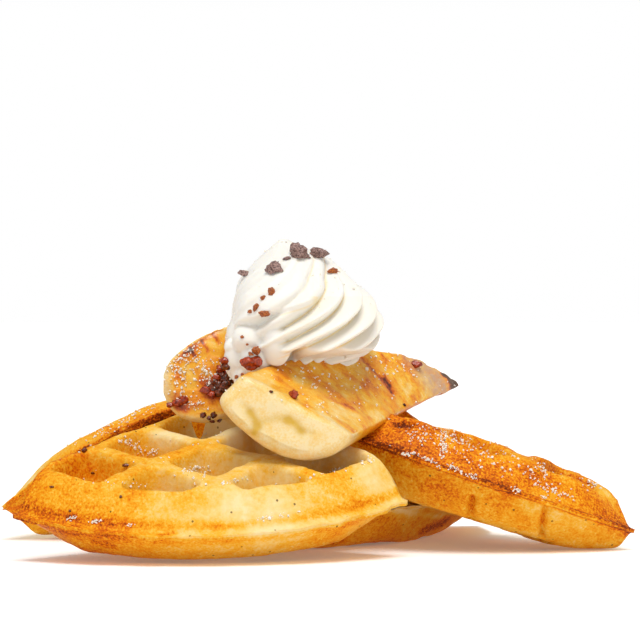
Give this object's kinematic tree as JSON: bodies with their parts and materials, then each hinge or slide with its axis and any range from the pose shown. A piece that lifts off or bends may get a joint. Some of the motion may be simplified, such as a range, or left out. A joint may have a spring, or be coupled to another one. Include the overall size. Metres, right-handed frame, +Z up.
{
  "type": "topped waffle",
  "caption": "Round waffle cut into wedges and piled, topped with caramelised banana halves, a whipped-cream swirl and cocoa nibs.",
  "frame": {"origin": "middle of the pile's bounding box, on the surface that it rests on", "axes": "+Z up, +X to the right and +Y away from the viewer as the pile is pictured"},
  "size_m": [0.2132, 0.1658, 0.1026],
  "materials": {
    "waffle": "baked, dry and slightly rough",
    "banana": "moist, caramelised",
    "cream": "soft satin"
  },
  "bodies": {
    "root": {"waffle_front_left": "waffle", "waffle_back_left": "waffle", "waffle_right": "waffle", "waffle_under": "waffle", "banana_front": "banana", "banana_back": "banana", "whipped_cream": "cream"}
  },
  "joints": []
}
